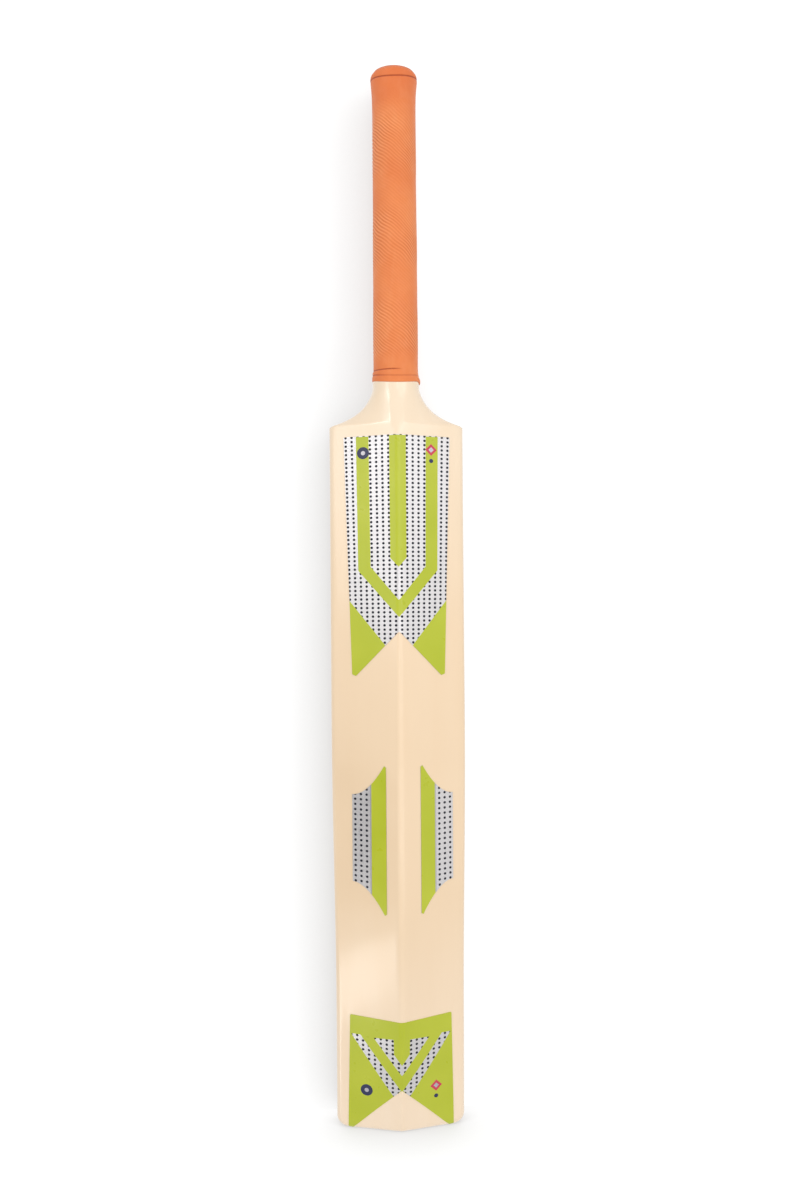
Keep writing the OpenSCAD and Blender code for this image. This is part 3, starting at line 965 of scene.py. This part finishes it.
def make_camera():
    """A level camera at half the bat's height, a little to its left."""
    data = bpy.data.cameras.new("camera")
    data.sensor_width = 36
    data.lens = 31.56
    camera = bpy.data.objects.new("camera", data)
    bpy.context.scene.collection.objects.link(camera)
    distance, turn, height = 0.8524, math.radians(-2.3), 0.426
    aside, roll = 0.0021, math.radians(-0.42)
    axis = Vector((0, axis_y * MM, height))
    camera.location = axis + distance * Vector((math.sin(turn), -math.cos(turn), 0))
    look = (axis + Vector((aside, 0, 0)) - camera.location).to_track_quat("-Z", "Y")
    camera.rotation_mode = "QUATERNION"
    camera.rotation_quaternion = look @ Quaternion((0, 0, 1), roll)
    bpy.context.scene.camera = camera


def make_lamp(name, direction, distance, size, radiance, target_z=0.43):
    """A softbox that faces the bat from a direction, at a radiance where 1 is white."""
    data = bpy.data.lights.new(name, "AREA")
    data.shape = "RECTANGLE"
    data.size, data.size_y = size
    data.energy = radiance * math.pi * size[0] * size[1]
    lamp = bpy.data.objects.new(name, data)
    bpy.context.scene.collection.objects.link(lamp)
    away = Vector(direction).normalized()
    lamp.location = Vector((0, axis_y * MM, target_z)) + distance * away
    lamp.rotation_euler = away.to_track_quat("Z", "Y").to_euler()
    lamp.visible_camera = False


def seen_rays(world):
    """1 for the rays that see the background directly, in gloss or through glass."""
    path = add_node(world, "LightPath").outputs
    first = {0: path["Is Camera Ray"], 1: path["Is Glossy Ray"]}
    direct = add_node(world, "Math", first, operation="MAXIMUM").outputs[0]
    second = {0: direct, 1: path["Is Transmission Ray"]}
    return add_node(world, "Math", second, operation="MAXIMUM").outputs[0]


def make_world(level):
    """An even white room that lights at a level and is seen as white."""
    world = bpy.data.worlds.new("world")
    world.use_nodes = True
    background = world.node_tree.nodes["Background"]
    background.inputs["Color"].default_value = (1, 1, 1, 1)
    strength = add_node(world, "MapRange", {"Value": seen_rays(world), "To Min": level, "To Max": 1.0})
    world.node_tree.links.new(strength.outputs["Result"], background.inputs["Strength"])
    bpy.context.scene.world = world


def stage_material(name, tilt, shade):
    """White paper that glows, with a painted shadow: it darkens where the bat is near, on the side of the
    tilt.
    """
    material = new_material(name, {"Base Color": (0.2, 0.2, 0.2, 1), "Specular IOR Level": 0.0})
    shader = material.node_tree.nodes["Principled BSDF"]
    shader.inputs["Emission Color"].default_value = (1, 1, 1, 1)
    normal = add_node(material, "CombineXYZ", {"X": tilt[0], "Y": tilt[1], "Z": tilt[2]})
    inputs = {"Normal": normal.outputs["Vector"], "Distance": 0.07}
    near = add_node(material, "AmbientOcclusion", inputs, samples=16).outputs["AO"]
    # Painted shadow: the glow dims with the ambient occlusion round the bat.
    feed(material, "Emission Strength", ramp(material, near, 0.9 - shade, 0.9, 0, 0.97))
    # The paper shows from its front only
    output = material.node_tree.nodes["Material Output"]
    clear = add_node(material, "BsdfTransparent")
    side = add_node(material, "NewGeometry")
    mixed = add_node(material, "MixShader", {"Fac": side.outputs["Backfacing"]})
    tree = material.node_tree
    tree.links.new(shader.outputs["BSDF"], mixed.inputs[1])
    tree.links.new(clear.outputs["BSDF"], mixed.inputs[2])
    tree.links.new(mixed.outputs["Shader"], output.inputs["Surface"])
    return material


def flat_sheet(name, corners, material):
    """A flat sheet that belongs to the stage."""
    mesh = bpy.data.meshes.new(name)
    mesh.from_pydata(corners, [], [[0, 1, 2, 3]])
    mesh.materials.append(material)
    sheet = bpy.data.objects.new(name, mesh)
    bpy.context.scene.collection.objects.link(sheet)
    return sheet


def make_paper(name, corners, tilt, shade):
    """A sheet of the stage's paper, which only the camera sees."""
    paper = flat_sheet(name, corners, stage_material(name + "_paper", tilt, shade))
    paper.visible_diffuse = False
    paper.visible_glossy = False
    paper.visible_transmission = False
    paper.visible_shadow = False


def make_stage():
    """A floor under the toe and a backdrop close behind the bat's face."""
    reach, gap, shade = 1.6, 0.008, 0.43
    wall_y = cad_box[1][1] + gap
    floor = [(-reach, -reach, 0), (reach, -reach, 0), (reach, wall_y, 0), (-reach, wall_y, 0)]
    wall = [(-reach, wall_y, 0), (reach, wall_y, 0), (reach, wall_y, reach), (-reach, wall_y, reach)]
    make_paper("floor", floor, (0, 0, 1), shade)
    make_paper("backdrop", wall, (0.6, -0.8, 0), shade)


def make_card(direction, distance, size, target_z):
    """A dark card beside the camera, which dulls the gloss of the place that mirrors it."""
    away = Vector(direction).normalized()
    across = away.cross(Vector((0, 0, 1))).normalized() * size[0] / 2
    up = across.cross(away).normalized() * size[1] / 2
    centre = Vector((0, axis_y * MM, target_z)) + distance * away
    corners = [centre - across - up, centre + across - up, centre + across + up, centre - across + up]
    dark = new_material("dark_card", {"Base Color": (0.02, 0.02, 0.02, 1), "Specular IOR Level": 0.0})
    flat_sheet("dark_card", corners, dark).visible_camera = False


make_camera()
make_world(0.7)
make_lamp("key", (0.45, -0.83, 0.33), 1.6, (0.8, 0.8), 1.1)
make_lamp("right_strip", (0.67, -0.74, 0.0), 1.4, (0.4, 1.4), 1.6)
make_lamp("window", (-0.70, -0.66, 0.33), 1.5, (0.4, 1.0), 1.85)
make_lamp("front_strip", (0.1, -0.99, 0.0), 1.3, (0.14, 1.2), 3.6)
make_lamp("low_lamp", (-0.787, -0.402, -0.457), 1.2, (0.18, 0.3), 4.5, 0.14)
make_lamp("high_lamp", (-0.60, -0.67, 0.43), 1.2, (0.2, 0.25), 4.5, 0.58)
make_card((-0.85, -0.48, -0.22), 1.0, (0.36, 0.28), 0.24)
make_stage()

make_blade(lacquer_material())
make_grip(rubber_material())
foils = label_materials()
make_upper_label(foils)
make_side_label("left_foil", ["left_label"], foils, -1)
make_side_label("right_foil", ["right_label"], foils, 1)
make_toe_label(foils)
dress_handle()

bpy.context.scene.view_settings.view_transform = "Standard"
